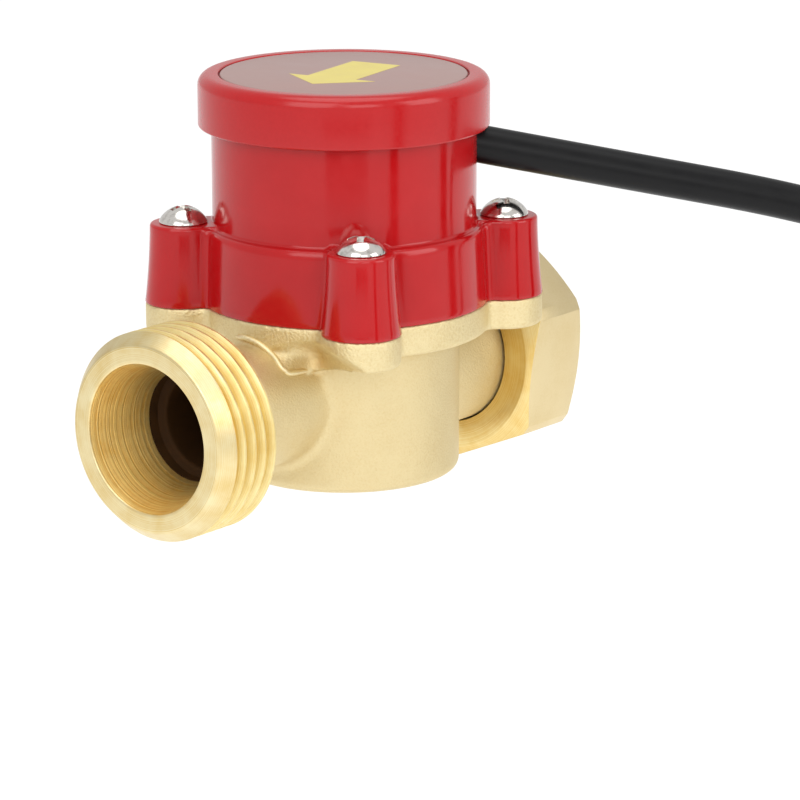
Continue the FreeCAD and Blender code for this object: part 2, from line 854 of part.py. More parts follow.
def make_resistor(label, side):
    face = -number(board_offset)
    radius, length = number(s.resistor_radius), number(s.resistor_length)
    axis = face + radius
    bottom = wire_low + number(s.wire_overrun)
    body = Part.makeCylinder(radius, length, Vector(axis, side, bottom))
    rims = [edge for edge in body.Edges if isinstance(edge.Curve, Part.Circle)]
    body = body.makeFillet(radius * 0.4, rims)
    wire = looped_wire(face, axis, side, length)
    return solid_feature(label, body.fuse(wire))


def make_capacitor():
    body = doc.addObject("PartDesign::Body", "snubber_capacitor")
    half = s.capacitor_width / 2
    block = sketch_on(body, "capacitor_outline", "XY_Plane")
    outline(block, [(0, -half), (s.capacitor_depth, -half), (s.capacitor_depth, half), (0, half)])
    pad(body, "capacitor_block", block, s.capacitor_height)

    def outer_upright(edge):
        return runs_along(edge, Vector(0, 0, 1)) and middle_of(edge).x > number(s.capacitor_depth) / 2

    soften(body, "capacitor_edges", "Fillet", s.capacitor_width * 0.15, outer_upright)
    return in_lead_frame(body, -board_offset, part_side + half, part_base)


def make_triac():
    body = doc.addObject("PartDesign::Body", "triac")
    half = s.triac_width / 2
    top = s.triac_height + s.triac_tab_height
    case = sketch_on(body, "triac_case_outline", "YZ_Plane", -s.triac_depth)
    outline(case, [(-half, 0), (half, 0), (half, s.triac_height), (-half, s.triac_height)])
    pad(body, "triac_case", case, s.triac_depth)
    tab = sketch_on(body, "triac_tab_outline", "YZ_Plane", -s.triac_tab_thickness)
    outline(tab, [(-half, s.triac_height), (half, s.triac_height), (half, top), (-half, top)])
    pad(body, "triac_tab", tab, s.triac_tab_thickness)
    hole = sketch_on(body, "triac_hole_outline", "YZ_Plane")
    circle(hole, s.triac_hole_radius, 0, s.triac_height + s.triac_tab_height / 2)
    pocket(body, "triac_hole", hole, s.triac_tab_thickness)
    for i in (-1, 0, 1):
        left = s.triac_leg_pitch * i - s.triac_leg_width / 2
        right = left + s.triac_leg_width
        leg = sketch_on(body, f"triac_leg_outline_{i + 2}", "YZ_Plane", -s.triac_leg_width)
        outline(leg, [(left, -s.triac_leg_length), (right, -s.triac_leg_length), (right, 0), (left, 0)])
        pad(body, f"triac_leg_{i + 2}", leg, s.triac_leg_width)
    base = part_base + s.triac_leg_length
    return in_lead_frame(body, -board_offset - s.board_thickness, 0, base)


def make_lead():
    radius, core, strand = number(s.cable_radius), number(s.core_radius), number(s.strand_radius)
    half_gap, spread = number(s.core_spacing) / 2, number(s.core_spread)
    solder = number(solder_level)
    face = -number(board_offset)
    inside, end = cable_route[0], cable_route[-1]
    into = (cable_route[1] - inside).normalize()
    along = (end - cable_route[-2]).normalize()
    pieces = [solid_feature("power_cable", tube(cable_route, radius, "power_cable"))]
    for colour, side in (("brown", 1), ("blue", -1)):
        entry = inside + Vector(0, side * half_gap, 0)
        inner_route = [
            entry,
            entry - into * (5 * core),
            Vector(0, side * (half_gap + spread) / 2, solder + number(s.core_rise)),
            Vector(face / 2, side * spread, solder),
            Vector(face, side * spread, solder),
        ]
        pieces.append(solid_feature(f"{colour}_lead", tube(inner_route, core, f"{colour}_lead")))
        leave = end + Vector(0, side * half_gap, 0)
        tail_route = [leave]
        for share, spread_share in ((0.32, 0), (0.64, 0.32), (1, 1)):
            flare = Vector(0, side * number(s.tail_flare) * spread_share, 0)
            tail_route.append(leave + along * (share * number(s.tail_length)) + flare)
        pieces.append(solid_feature(f"{colour}_tail", tube(tail_route, core, f"{colour}_tail")))
        tip_axis = tail_route[-1] - tail_route[-2]
        tip = Part.makeCylinder(strand, number(s.strand_length), tail_route[-1], tip_axis)
        pieces.append(solid_feature(f"{colour}_tip", tip))
    return pieces


board = make_board()
sub_parts = [
    make_valve_body(),
    make_union_nut(),
    make_retaining_ring(),
    make_gasket(),
    make_cover_seal(),
    make_plunger(),
    make_rod("plunger_magnet", magnet_radius, s.magnet_length, magnet_bottom),
    make_rod("plunger_plug", magnet_radius, s.plug_thickness, stem_top - s.plug_thickness),
    make_housing(),
    make_cap(),
    make_rod("label_disc", label_radius, s.label_thickness, label_floor),
    board,
    make_potting(board),
    *make_reed(),
    make_resistor("resistor_1", -number(part_side)),
    make_resistor("resistor_2", -number(part_side) - number(s.resistor_spacing)),
    make_capacitor(),
    make_triac(),
    *make_lead(),
]
for place in range(4):
    sub_parts.append(make_screw(f"cover_screw_{place + 1}", 45 + 90 * place))
doc.recompute()

for item in doc.Objects:
    if "Invalid" in item.State or "Error" in item.State:
        raise ValueError(f"{item.Label} failed: {item.State}")
for part in sub_parts:
    if part.Shape.isNull() or not part.Shape.isValid():
        raise ValueError(f"{part.Label} has no valid shape")

os.makedirs("parts", exist_ok=True)
for part in sub_parts:
    part.Shape.exportStep(os.path.join("parts", f"{part.Label}.step"))
    print(part.Label, len(part.Shape.Solids), "solids", round(part.Shape.Volume, 1), "cubic mm")
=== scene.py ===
import math

import bmesh
import bpy
from mathutils import Matrix, Vector


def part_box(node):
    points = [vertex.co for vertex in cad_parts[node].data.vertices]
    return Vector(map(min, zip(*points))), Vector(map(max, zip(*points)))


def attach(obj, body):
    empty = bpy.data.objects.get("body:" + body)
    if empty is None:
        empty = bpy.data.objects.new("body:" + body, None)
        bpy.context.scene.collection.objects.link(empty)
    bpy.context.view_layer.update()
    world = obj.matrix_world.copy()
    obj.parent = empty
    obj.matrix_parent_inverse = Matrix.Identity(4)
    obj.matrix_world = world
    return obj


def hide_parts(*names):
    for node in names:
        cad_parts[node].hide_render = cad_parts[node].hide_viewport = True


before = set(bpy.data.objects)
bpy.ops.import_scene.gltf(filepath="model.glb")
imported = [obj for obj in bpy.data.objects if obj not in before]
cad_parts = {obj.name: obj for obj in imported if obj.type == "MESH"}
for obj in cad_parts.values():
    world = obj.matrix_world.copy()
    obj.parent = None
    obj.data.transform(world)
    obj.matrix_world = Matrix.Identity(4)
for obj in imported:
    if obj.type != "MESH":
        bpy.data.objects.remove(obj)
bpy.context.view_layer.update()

# Dresses the water flow sensor: brass body, union nut, red housing with its lid, screws, label and lead.
# Lengths in the dictionaries are millimetres and angles are degrees, in the frame of the CAD model.
mm = 0.001
print("frame loaded with", len(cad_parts), "nodes")

towerX = sum(corner.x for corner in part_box("top_cap")) / 2 / mm
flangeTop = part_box("sensor_housing")[0].z / mm
towerPlace = Matrix.Translation((towerX * mm, 0, 0))


def newObject(name, data):
    item = bpy.data.objects.new(name, data)
    bpy.context.scene.collection.objects.link(item)
    return item


# Camera at the photograph's place
shot = {"place": (-419.4, -384.25, 156.85), "azimuth": -51.445, "elevation": 14.859, "roll": -0.069,
        "lens": 172.54, "sensor": 36, "clip": (20, 60000)}


def setCamera():
    azimuth, elevation, roll = (math.radians(shot[key]) for key in ("azimuth", "elevation", "roll"))
    back = Vector((math.sin(azimuth) * math.cos(elevation), -math.cos(azimuth) * math.cos(elevation),
                   math.sin(elevation)))
    data = bpy.data.cameras.new("shot")
    data.lens = shot["lens"]
    data.sensor_width = shot["sensor"]
    data.clip_start, data.clip_end = (reach * mm for reach in shot["clip"])
    camera = newObject("shot", data)
    camera.rotation_mode = "QUATERNION"
    camera.rotation_quaternion = back.to_track_quat("Z", "Y") @ Matrix.Rotation(roll, 4, "Z").to_quaternion()
    camera.location = Vector(shot["place"]) * mm
    bpy.context.scene.camera = camera


setCamera()
# keeps the white ground and the full red of the photograph
bpy.context.scene.view_settings.view_transform = "Standard"
print("camera set")


# Small helpers for meshes, with two lengths in metres
weld = 1e-7  # points this close are one
sliver = 1e-6  # edges this short are taken out after a cut


def addObject(name, data, body, slot, *nodes):
    piece = newObject(name, data)
    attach(piece, body)
    if nodes:
        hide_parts(*nodes)
    return piece


def rework(mesh, *changes):
    bm = bmesh.new()
    bm.from_mesh(mesh)
    for change in changes:
        change(bm)
    bm.to_mesh(mesh)
    bm.free()


def mergePoints(bm):  # joins the points that lie on each other
    bmesh.ops.remove_doubles(bm, verts=bm.verts, dist=weld)


def faceOutward(bm):
    bmesh.ops.recalc_face_normals(bm, faces=bm.faces)


def clearSlivers(bm):  # takes out the faces with no area that cuts leave behind
    bmesh.ops.triangulate(bm, faces=[face for face in bm.faces if len(face.verts) > 4])
    bmesh.ops.dissolve_degenerate(bm, dist=sliver, edges=bm.edges)


def joinMesh(mesh, other):
    rework(mesh, lambda bm: bm.from_mesh(other))


def meshFrom(name, points, faces, place=Matrix()):
    mesh = bpy.data.meshes.new(name)
    mesh.from_pydata([place @ (Vector(point) * mm) for point in points], [], faces)
    rework(mesh, mergePoints, faceOutward)
    return mesh


def ringFaces(rows, count, closedRows=False):  # quads between rings of equal point counts
    pairs = rows if closedRows else rows - 1
    faces = []
    for row in range(pairs):
        near, far = row * count, (row + 1) % rows * count
        faces += [(near + i, near + (i + 1) % count, far + (i + 1) % count, far + i) for i in range(count)]
    return faces


def loftMesh(name, rings, place=Matrix(), ends="flat"):  # a skin over rings: flat ends, points or a loop
    count = len(rings[0])
    points = [point for ring in rings for point in ring]
    faces = ringFaces(len(rings), count, ends == "loop")
    if ends == "flat":
        faces += [tuple(range(count - 1, -1, -1)), tuple(len(points) - count + i for i in range(count))]
    return meshFrom(name, points, faces, place)


def turnsOf(count):  # angles once round
    return [2 * math.pi * i / count for i in range(count)]


def turnedMesh(name, profile, place, segments):  # profile of (radius, height) turned about Z
    turns = turnsOf(segments)
    rings = []
    for radius, height in profile:
        rings.append([(radius * math.cos(turn), radius * math.sin(turn), height) for turn in turns])
    return loftMesh(name, rings, place, "points" if profile[0][0] == 0 else "loop")


def flowRing(along, radii):  # a ring round the flow axis, with a radius for each point
    turns = turnsOf(len(radii))
    return [(along, radius * math.cos(turn), radius * math.sin(turn)) for radius, turn in zip(radii, turns)]


def rounded(corners, steps):  # a profile of (across, along, radius) with its corners rounded
    points = []
    count = len(corners)
    for i, (across, along, radius) in enumerate(corners):
        here = Vector((across, along))
        if radius == 0:
            points.append(here)
            continue
        before = (Vector(corners[i - 1][:2]) - here).normalized()
        after = (Vector(corners[(i + 1) % count][:2]) - here).normalized()
        half = before.angle(after) / 2
        reach = radius / math.tan(half)
        centre = here + (before + after).normalized() * (radius / math.sin(half))
        start, end = here + before * reach - centre, here + after * reach - centre
        turn = start.angle_signed(end)
        for step in range(steps + 1):
            points.append(centre + Matrix.Rotation(-turn * step / steps, 2) @ start)
    return [tuple(point) for point in points]


def smoothStep(low, high, value):
    share = min(1, max(0, (value - low) / (high - low)))
    return share * share * (3 - 2 * share)


def nurbsBar(name, radius, around, points):  # a round bar along control points
    curve = bpy.data.curves.new(name, "CURVE")
    curve.dimensions = "3D"
    curve.bevel_depth = radius * mm
    curve.bevel_resolution = around
    curve.use_fill_caps = True
    spline = curve.splines.new("NURBS")
    spline.points.add(len(points) - 1)
    for point, place in zip(spline.points, points):
        point.co = place.to_4d()
    spline.order_u = 3
    spline.use_endpoint_u = True
    return curve


def finishedMesh(item):  # the mesh that an object's modifiers or bevel give
    bpy.context.view_layer.update()
    return bpy.data.meshes.new_from_object(item.evaluated_get(bpy.context.evaluated_depsgraph_get()))


def replaceMesh(piece):  # fixes the modifiers' result as the piece's own mesh
    made = finishedMesh(piece)
    made.name = piece.name
    piece.modifiers.clear()
    piece.data = made


def cutAway(piece, *meshes):
    for mesh in meshes:
        cutter = newObject("cutter", mesh)
        cut = piece.modifiers.new("cut", "BOOLEAN")
        cut.operation, cut.solver, cut.object = "DIFFERENCE", "EXACT", cutter
        replaceMesh(piece)
        bpy.data.objects.remove(cutter)


def shadeSmooth(piece, crease):
    piece.data.shade_smooth()
    piece.data.set_sharp_from_angle(angle=math.radians(crease))


def setMaterials(piece, *materials):
    piece.data.materials.clear()
    for material in materials:
        piece.data.materials.append(material)


def copyNode(node):
    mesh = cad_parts[node].data.copy()
    mesh.materials.clear()
    rework(mesh, mergePoints)
    for name in [item.name for item in mesh.attributes if "custom_normal" in item.name]:
        mesh.attributes.remove(mesh.attributes[name])
    return mesh


# Small helpers for materials
def linear(hexText):
    parts = [int(hexText[i:i + 2], 16) / 255 for i in (1, 3, 5)]
    return [p / 12.92 if p <= 0.04045 else ((p + 0.055) / 1.055) ** 2.4 for p in parts] + [1.0]


def addNode(tree, kind, settings=None, links=None, stops=None):
    node = tree.nodes.new(kind)
    for name, value in (settings or {}).items():
        setattr(node, name, value)
    for name, value in (links or {}).items():
        if isinstance(value, bpy.types.NodeSocket):
            tree.links.new(value, node.inputs[name])
        else:
            node.inputs[name].default_value = value
    if stops:
        ramp = node.color_ramp.elements
        while len(ramp) < len(stops):
            ramp.new(1.0)
        for element, (position, colour) in zip(ramp, stops):
            element.position, element.color = position, linear(colour)
    return node


def startMaterial(name, **constants):
    material = bpy.data.materials.new(name)
    material.use_nodes = True
    shader = material.node_tree.nodes["Principled BSDF"]
    for socket, value in constants.items():
        shader.inputs[socket.replace("_", " ")].default_value = value
    place = addNode(material.node_tree, "ShaderNodeTexCoord").outputs["Object"]
    return material, material.node_tree, shader.inputs, place


def linkShader(tree, shader, **results):
    for socket, result in results.items():
        tree.links.new(result, shader[socket.replace("_", " ")])


# painted shade in hollows: how closed a place is where the deep tone has its full share, and how open where
# it ends
recess = {"closed": 0.3, "open": 0.68, "share": 0.8, "samples": 8}


def paintRecessShade(tree, tone, deep, reach):  # painted shade: a deeper tone mixed in where the hollows are closed in
    sight = addNode(tree, "ShaderNodeAmbientOcclusion", {"samples": recess["samples"], "only_local": True}, {
        "Distance": reach * mm})
    closed = addNode(tree, "ShaderNodeMapRange", links={
        "Value": sight.outputs["AO"], "From Min": recess["closed"], "From Max": recess["open"],
        "To Min": recess["share"], "To Max": 0.0})
    mixed = addNode(tree, "ShaderNodeMix", {"data_type": "RGBA"}, {
        0: closed.outputs["Result"], 6: tone, 7: linear(deep)})
    return mixed.outputs[2]


# Materials: grit and tool lines finer than these wouldn't show, so they are drawn a little coarse
def grainedBrass(name, pale, deep, grit, relief, rough, mottle=5.0, share=0.75, skin="#C99A42", reach=5.0):
    # a dense grain over soft patches of tone: coarse where it was cast and blasted, fine where it was
    # milled; skin is the deeper gold painted as shade into hollows within reach
    material, tree, shader, place = startMaterial(name, Metallic=1.0)
    grain = addNode(tree, "ShaderNodeTexNoise", links={
        "Vector": place, "Scale": 1 / (grit * mm), "Detail": 2.5, "Roughness": 0.6}).outputs["Fac"]
    patches = addNode(tree, "ShaderNodeTexNoise", links={
        "Vector": place, "Scale": 1 / (mottle * mm), "Detail": 4.0}).outputs["Fac"]
    mixed = addNode(tree, "ShaderNodeMix", {"data_type": "FLOAT"}, {
        0: share, 2: patches, 3: grain}).outputs[0]
    tone = addNode(tree, "ShaderNodeValToRGB", links={"Fac": mixed}, stops=[(0.32, deep), (0.58, pale)])
    gloss = addNode(tree, "ShaderNodeMapRange", links={
        "Value": grain, "From Min": 0.3, "From Max": 0.7, "To Min": rough - 0.06, "To Max": rough + 0.08})
    bumps = addNode(tree, "ShaderNodeBump", links={
        "Height": grain, "Strength": 0.9, "Distance": relief * mm})
    linkShader(tree, shader, Base_Color=paintRecessShade(tree, tone.outputs["Color"], skin, reach),
               Roughness=gloss.outputs["Result"], Normal=bumps.outputs["Normal"])
    return material


def latheTurnedBrass(name, pale, deep, line, relief, rough, mottle=3.5, skin="#E6BE58", reach=1.2):
    # skin is the deeper gold painted as shade into hollows within reach, such as the thread's roots
    # tool lines run round the flow axis, so it shines in streaks
    material, tree, shader, place = startMaterial(name, Metallic=1.0, Anisotropic=0.25)
    axes = addNode(tree, "ShaderNodeSeparateXYZ", links={"Vector": place})
    flat = addNode(tree, "ShaderNodeVectorMath", {"operation": "MULTIPLY"}, {0: place, 1: (0, 1, 1)})
    radius = addNode(tree, "ShaderNodeVectorMath", {"operation": "LENGTH"}, {0: flat.outputs["Vector"]})
    travel = addNode(tree, "ShaderNodeMath", {"operation": "ADD"}, {
        0: axes.outputs["X"], 1: radius.outputs["Value"]}).outputs["Value"]
    lines = addNode(tree, "ShaderNodeTexNoise", {"noise_dimensions": "1D"}, {
        "W": travel, "Scale": 1 / (line * mm), "Detail": 2.0, "Roughness": 0.7}).outputs["Fac"]
    patches = addNode(tree, "ShaderNodeTexNoise", links={
        "Vector": place, "Scale": 1 / (mottle * mm), "Detail": 3.0}).outputs["Fac"]
    mixed = addNode(tree, "ShaderNodeMix", {"data_type": "FLOAT"}, {
        0: 0.55, 2: patches, 3: lines}).outputs[0]
    tone = addNode(tree, "ShaderNodeValToRGB", links={"Fac": mixed}, stops=[(0.34, deep), (0.6, pale)])
    gloss = addNode(tree, "ShaderNodeMapRange", links={
        "Value": mixed, "From Min": 0.3, "From Max": 0.7, "To Min": rough + 0.08, "To Max": rough - 0.04})
    cut = addNode(tree, "ShaderNodeBump", links={
        "Height": lines, "Strength": 0.8, "Distance": relief * mm})
    tangent = addNode(tree, "ShaderNodeTangent", {"direction_type": "RADIAL", "axis": "X"})
    linkShader(tree, shader, Base_Color=paintRecessShade(tree, tone.outputs["Color"], skin, reach),
               Roughness=gloss.outputs["Result"], Normal=cut.outputs["Normal"],
               Tangent=tangent.outputs["Tangent"])
    return material


def smoothSkin(name, colour, shade, rough, peel, relief, shine=0.5):
    # an even tone with slight patches and a soft unevenness in the gloss
    material, tree, shader, place = startMaterial(name, IOR=1.5, Specular_IOR_Level=shine)
    skin = addNode(tree, "ShaderNodeTexNoise", links={
        "Vector": place, "Scale": 1 / (peel * mm), "Detail": 2.0}).outputs["Fac"]
    tone = addNode(tree, "ShaderNodeValToRGB", links={"Fac": skin}, stops=[(0.25, shade), (0.7, colour)])
    gloss = addNode(tree, "ShaderNodeMapRange", links={
        "Value": skin, "From Min": 0.3, "From Max": 0.7, "To Min": rough - 0.03, "To Max": rough + 0.04})
    uneven = addNode(tree, "ShaderNodeBump", links={
        "Height": skin, "Strength": 0.5, "Distance": relief * mm})
    linkShader(tree, shader, Base_Color=tone.outputs["Color"], Roughness=gloss.outputs["Result"],
               Normal=uneven.outputs["Normal"])
    return material


def platedMetal(name, colour, shade, rough, scuff, relief=0.01):
    # bright plate with faint scuffs that break up its reflections
    material, tree, shader, place = startMaterial(name, Metallic=1.0)
    marks = addNode(tree, "ShaderNodeTexNoise", links={
        "Vector": place, "Scale": 1 / (scuff * mm), "Detail": 4.0, "Roughness": 0.65}).outputs["Fac"]
    tone = addNode(tree, "ShaderNodeValToRGB", links={"Fac": marks}, stops=[(0.3, shade), (0.55, colour)])
    gloss = addNode(tree, "ShaderNodeMapRange", links={
        "Value": marks, "From Min": 0.3, "From Max": 0.7, "To Min": rough + 0.1, "To Max": rough})
    dents = addNode(tree, "ShaderNodeBump", links={
        "Height": marks, "Strength": 0.4, "Distance": relief * mm})
    linkShader(tree, shader, Base_Color=tone.outputs["Color"], Roughness=gloss.outputs["Result"],
               Normal=dents.outputs["Normal"])
    return material


def mattCoat(name, fleck, dark, light, **constants):  # no shine and an almost even tone
    material, tree, shader, place = startMaterial(name, **constants)
    flecks = addNode(tree, "ShaderNodeTexNoise", links={
        "Vector": place, "Scale": 1 / (fleck * mm)}).outputs["Fac"]
    tone = addNode(tree, "ShaderNodeValToRGB", links={"Fac": flecks}, stops=[(0.3, dark), (0.7, light)])
    linkShader(tree, shader, Base_Color=tone.outputs["Color"])
    return material


# dull gold with a fine sparkle, in soft patches, and a deeper gold painted as shade in its hollows
brassCast = grainedBrass("sand_cast_brass", "#DCCCA1", "#D4C091", grit=0.34, relief=0.1, rough=0.56)
# coarser, so it catches more light; its hollows under the flange get a deeper gold painted as shade
brassRim = grainedBrass("shot_blasted_brass", "#E1D2A7", "#D6C292", grit=0.38, relief=0.16, rough=0.54,
                        skin="#C28E34")
# painted highlight: a line paler than the casting round it, and smoother
seamBrassPaintedHighlight = grainedBrass("blasted_brass_ridge_painted_highlight", "#E9DCB4", "#DECA98", grit=0.34, relief=0.06, rough=0.5,
                         skin="#E2CE9C")
# flat and even, with a satin sheen
brassMilled = grainedBrass("face_milled_brass", "#E2D0A4", "#DAC594", grit=0.3, relief=0.012, rough=0.42,
                           mottle=7.0, share=0.5)
# pale, with fine rings in its shine
brassTurned = latheTurnedBrass("lathe_turned_brass", "#E4D6AA", "#D3B776", line=0.16, relief=0.006,
                               rough=0.34)
# painted reflection: a more golden tone on the nut's turned faces, for the brass reflected in them
coneBrassPaintedReflection = latheTurnedBrass("turned_brass_cone_painted_reflection", "#E4CE92", "#D6B05E", line=0.16, relief=0.006, rough=0.34)
# coarser feed rings in the port, in a paler, brighter tone that paints light into the bore
boredBrassPaintedLight = latheTurnedBrass("bored_brass_painted_light", "#FEEBB0", "#EBC777", line=0.36, relief=0.05, rough=0.46)
# torn a little, so duller
brassThread = latheTurnedBrass("die_cut_brass", "#EBDBA4", "#DFC47C", line=0.2, relief=0.012, rough=0.46)
# painted shade: a dull dark brown inside the bore and chamber, where deep shade falls
throatPaintedShade = smoothSkin("bore_painted_shade", "#33200E", "#2C1B0C", rough=0.75, peel=3.0, relief=0.02,
                         shine=0.1)
# deep red with clear reflections
redAbs = smoothSkin("moulded_red_abs", "#A90E12", "#A40C10", rough=0.13, peel=4.0, relief=0.004, shine=0.42)
# the same red, less glossy on the lid
redSatin = smoothSkin("spark_textured_red_abs", "#A90E12", "#A40C10", rough=0.2, peel=0.5, relief=0.004,
                      shine=0.42)
# a warm grey that is neither matt nor glossy
filmLabel = smoothSkin("printed_polyester_film", "#9A7A74", "#94746E", rough=0.34, peel=6.0, relief=0.004)
# flat and opaque
inkYellow = smoothSkin("screen_printed_yellow_ink", "#D2C265", "#CCBA5C", rough=0.4, peel=3.0, relief=0.004)
# almost a mirror
screwPlate = platedMetal("nickel_plated_steel", "#E4E0DA", "#B9B4AE", rough=0.1, scuff=1.2)
# near black with a soft sheen along it
sheathPvc = smoothSkin("extruded_black_pvc", "#0C0C0D", "#08080A", rough=0.36, peel=3.0, relief=0.02,
                       shine=0.2)
# silvery, a little dull
tinnedWire = platedMetal("tinned_copper_wire", "#D6D2CB", "#BDB8B0", rough=0.25, scuff=0.6)
print("materials made")


# Lead: the route's points are those of the CAD tube, in the frame that points along its exit
lead = {
    "turn": -45.0, "diameter": 6.2, "length": 268.0, "exit": (63.46, -15.06, 38.46),
    "route": [(12.5, 0, 40.3), (40, 0, 34.55), (78, 0.3, 26.75), (99.5, 1.2, 18.6), (114, 2.6, 2.4),
              (121, 4.2, -19.5), (122.4, 5.8, -44.5), (121.7, 7, -70), (120.4, 7.9, -100),
              (118.4, 8.3, -128), (115.8, 8.3, -154)],
    "around": 10, "steps": 24,
}
leadPlace = towerPlace @ Matrix.Rotation(math.radians(lead["turn"]), 4, "Z")


def makeLead():
    points = [leadPlace @ (Vector(place) * mm) for place in lead["route"]]
    curve = nurbsBar("lead_sheath", lead["diameter"] / 2, lead["around"], points)
    curve.resolution_u = lead["steps"]
    curve.materials.append(sheathPvc)  # before the object is made, or its box grows by a metre
    return addObject("lead_sheath", curve, "sensor", "black_sheath", "power_cable")


tip = {"strand": 0.25, "outer": 6, "lay": 8.5, "rows": 24, "around": 8, "crease": 50}


def makeTip(colour):  # tinned strands twisted round a middle one, in the place of the plain tip
    points = [vertex.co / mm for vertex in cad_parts[f"{colour}_tip"].data.vertices]
    level = sum(point.z for point in points) / len(points)
    upper = [point for point in points if point.z > level]
    lower = [point for point in points if point.z <= level]
    top, foot = (sum(ends, Vector()) / len(ends) for ends in (upper, lower))
    along = foot - top
    place = Matrix.Translation(top * mm) @ along.to_track_quat("Z", "Y").to_matrix().to_4x4()
    mesh = bpy.data.meshes.new(f"{colour}_strands")
    for strand in range(1 + tip["outer"]):
        away = 2 * tip["strand"] if strand else 0
        rings = []
        for row in range(tip["rows"] + 1):
            travel = along.length * row / tip["rows"]
            turn = 2 * math.pi * (strand / tip["outer"] + travel / tip["lay"])
            x, y = away * math.cos(turn), away * math.sin(turn)
            rings.append([(x + tip["strand"] * math.cos(a), y + tip["strand"] * math.sin(a), travel)
                          for a in turnsOf(tip["around"])])
        joinMesh(mesh, loftMesh("strand", rings, place))
    piece = addObject(f"{colour}_strands", mesh, "sensor", "tinned_wire", f"{colour}_tip")
    setMaterials(piece, tinnedWire)
    shadeSmooth(piece, tip["crease"])
    return piece


leadSheath = makeLead()
strandTips = [makeTip(colour) for colour in ("brown", "blue")]
print("lead made")


# Floor and light
studio = {"floor": -187.5, "floorReach": 9000, "floorPatch": 666.667, "sky": 0.72, "overhead": 1.15,
          "spread": 50, "aim": 15}
lamps = {
    "left_box": {"place": (-620, -150, 420), "size": (500, 600), "power": 2.2},
    "right_box": {"place": (250, -760, 330), "size": (420, 560), "power": 1.9},
    "front_box": {"place": (-480, -720, 380), "size": (420, 420), "power": 1.4},
}
# each card: degrees to the right of the camera, width, and heights of its lower and upper edge
flags = {"reach": 620, "fibre": 3.3333,
         "cards": [(43.5, 80, -187, 150), (95, 90, -187, 150), (3, 400, -88, -50)]}


def addCard(name, corners, material):  # a flat piece of the stage
    card = newObject(name, meshFrom(name, corners, [(0, 1, 2, 3)]))
    setMaterials(card, material)
    return card


def makeStage():
    reach, level = studio["floorReach"], studio["floor"]
    corners = [(-reach, -reach, level), (reach, -reach, level), (reach, reach, level),
               (-reach, reach, level)]
    paint = mattCoat("matt_white_paint", studio["floorPatch"], "#F7F7F7", "#FAFAFA", Roughness=0.9)
    addCard("floor", corners, paint)
    world = bpy.data.worlds.new("studio")
    bpy.context.scene.world = world
    world.use_nodes = True
    world.node_tree.nodes["Background"].inputs["Color"].default_value = (1, 1, 1, 1)
    world.node_tree.nodes["Background"].inputs["Strength"].default_value = studio["sky"]


def makeLamps():
    target = Vector((towerX, 0, studio["aim"])) * mm
    for name, lamp in lamps.items():
        light = bpy.data.lights.new(name, "AREA")
        light.shape = "RECTANGLE"
        light.size, light.size_y = (size * mm for size in lamp["size"])
        light.energy = lamp["power"]
        item = newObject(name, light)
        item.location = Vector(lamp["place"]) * mm
        item.rotation_euler = (item.location - target).to_track_quat("Z", "Y").to_euler()
        item.visible_camera = False
    overhead = bpy.data.lights.new("overhead", "SUN")
    overhead.energy = studio["overhead"]
    overhead.angle = math.radians(studio["spread"])
    newObject("overhead", overhead)


def makeFlags():  # black cards beside the camera, seen only as dark bands in the glossy surfaces
    felt = mattCoat("black_felt", flags["fibre"], "#050505", "#0A0A0A", Roughness=1.0,
                    Specular_IOR_Level=0.0)
    for number, (angle, width, foot, top) in enumerate(flags["cards"]):
        turn = math.radians(shot["azimuth"] + angle)
        out, side = Vector((math.sin(turn), -math.cos(turn), 0)), Vector((math.cos(turn), math.sin(turn), 0))
        middle = Vector((towerX, 0, 0)) + out * flags["reach"]
        corners = [middle + side * width / 2 * way + Vector((0, 0, level))
                   for way, level in ((-1, foot), (1, foot), (1, top), (-1, top))]
        card = addCard(f"flag_{number + 1}", corners, felt)
        card.visible_camera = card.visible_diffuse = card.visible_shadow = card.visible_transmission = False


makeStage()
makeLamps()
makeFlags()
print("stage and lamps set")


# Threaded port: a turned male end with a pipe thread
port = {  # radii and distances from its face; the cast finish starts at dullFrom, the bored one with its painted light at boreFrom
    "crest": 16.62, "pitch": 2.309, "flank": 27.5, "crestRound": 0.317, "phase": 0.9, "flat": 0.06,
    "face": 14.8, "chamfer": 2.25, "fadeIn": 1.0, "threadEnd": 12.4, "runOut": 0.5, "dullFrom": 12.6,
    "relief": 15.05, "rear": 13.2, "sleeve": 16.0, "sleeveBore": 8.75, "rearBore": 9.4,
    "mouth": 11.9, "waist": 9.0, "taper": 10.8, "boreFrom": 0.3, "edge": 0.1,
    "rim": [(0.05, 0.06), (0, 0.2)],  # how far back and how far in the points of the rim's rounding lie
    "mouthRound": 0.03, "step": 0.1, "segments": 288, "faceRings": 6, "boreRings": 40, "crease": 32,
}


def threadDrop(offset):  # depth below the crest at an axial distance from the middle of a crest
    pitch, small = port["pitch"], port["crestRound"]
    flank = math.radians(port["flank"])
    away = abs((offset / pitch + 0.5) % 1 - 0.5) * pitch
    arc = small * math.cos(flank)
    cap = small * (1 - math.sin(flank))
    flat = (pitch / 2 - 2 * arc) / math.tan(flank)
    if away < arc:
        return small - math.sqrt(small**2 - away**2)
    if away < pitch / 2 - arc:
        return cap + (away - arc) / math.tan(flank)
    return 2 * cap + flat - (small - math.sqrt(max(0, small**2 - (pitch / 2 - away)**2)))


